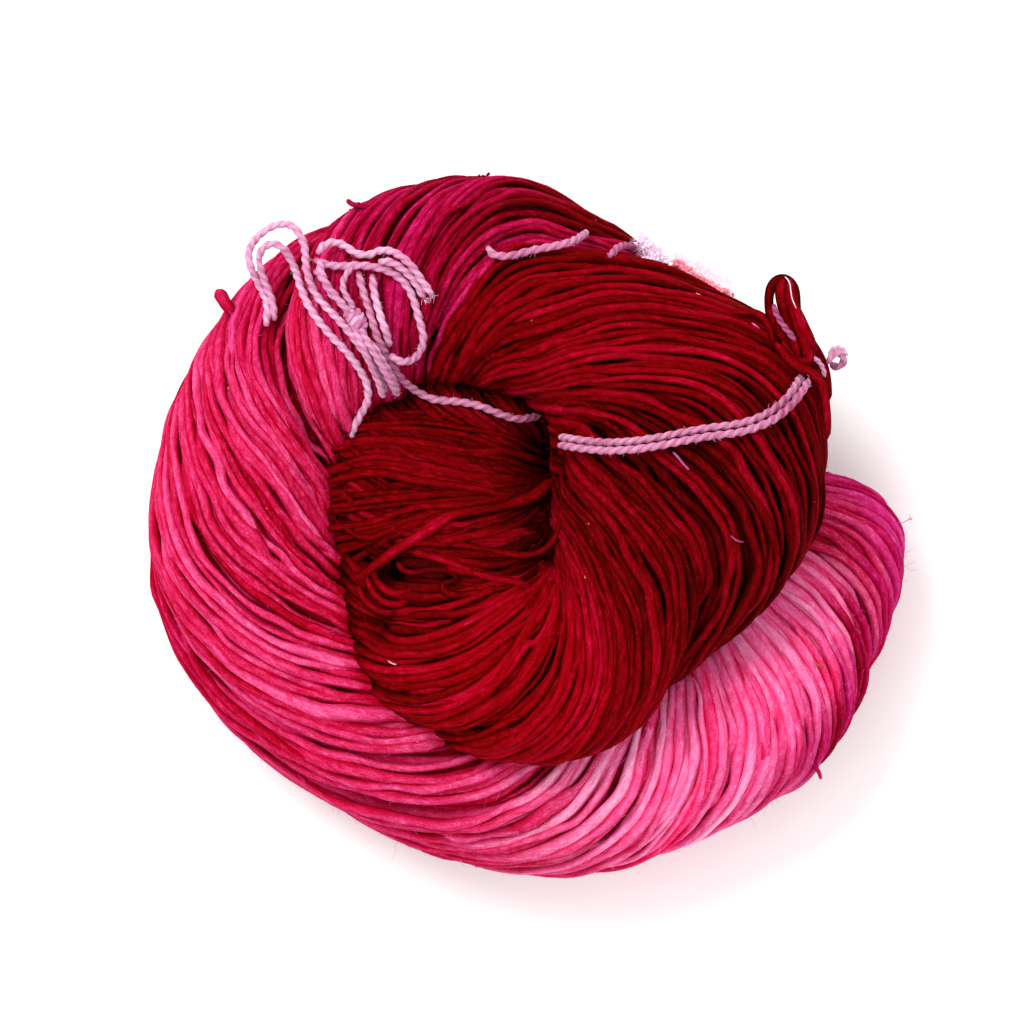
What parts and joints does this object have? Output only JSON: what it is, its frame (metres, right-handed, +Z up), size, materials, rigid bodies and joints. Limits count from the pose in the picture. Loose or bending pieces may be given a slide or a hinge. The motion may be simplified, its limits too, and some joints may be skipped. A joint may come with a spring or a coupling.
{
  "type": "hank of yarn",
  "caption": "Hank of dyed thick-and-thin yarn, twisted into a two-ply rope and coiled on itself like a snail, lying flat with a loose string tie and its threads.",
  "frame": {"origin": "on the surface that the hank lies on, below the middle of its outline seen from above", "axes": "+Z up out of the coil, +X towards the end where the rope starts and the coil is widest, +Y towards the end tucked in under the top of the coil"},
  "size_m": [0.1878, 0.1748, 0.069],
  "materials": {
    "dyed_yarn": "soft wool, hand dyed from pink to crimson",
    "red_yarn": "soft wool, crimson",
    "cotton_string": "matt two-ply cotton, pale lavender pink"
  },
  "bodies": {
    "root": {"hank": "dyed_yarn", "yarn_tie_loop": "red_yarn", "tie_knot": "cotton_string", "link_thread": "cotton_string", "side_strand": "cotton_string", "short_tail": "cotton_string", "middle_strand": "cotton_string", "left_loop_inner": "cotton_string", "left_loop_outer": "cotton_string", "right_loop": "cotton_string", "lower_end": "cotton_string", "upper_end": "cotton_string", "band_thread_upper": "cotton_string", "band_thread_lower": "cotton_string", "top_thread": "cotton_string"}
  },
  "joints": []
}
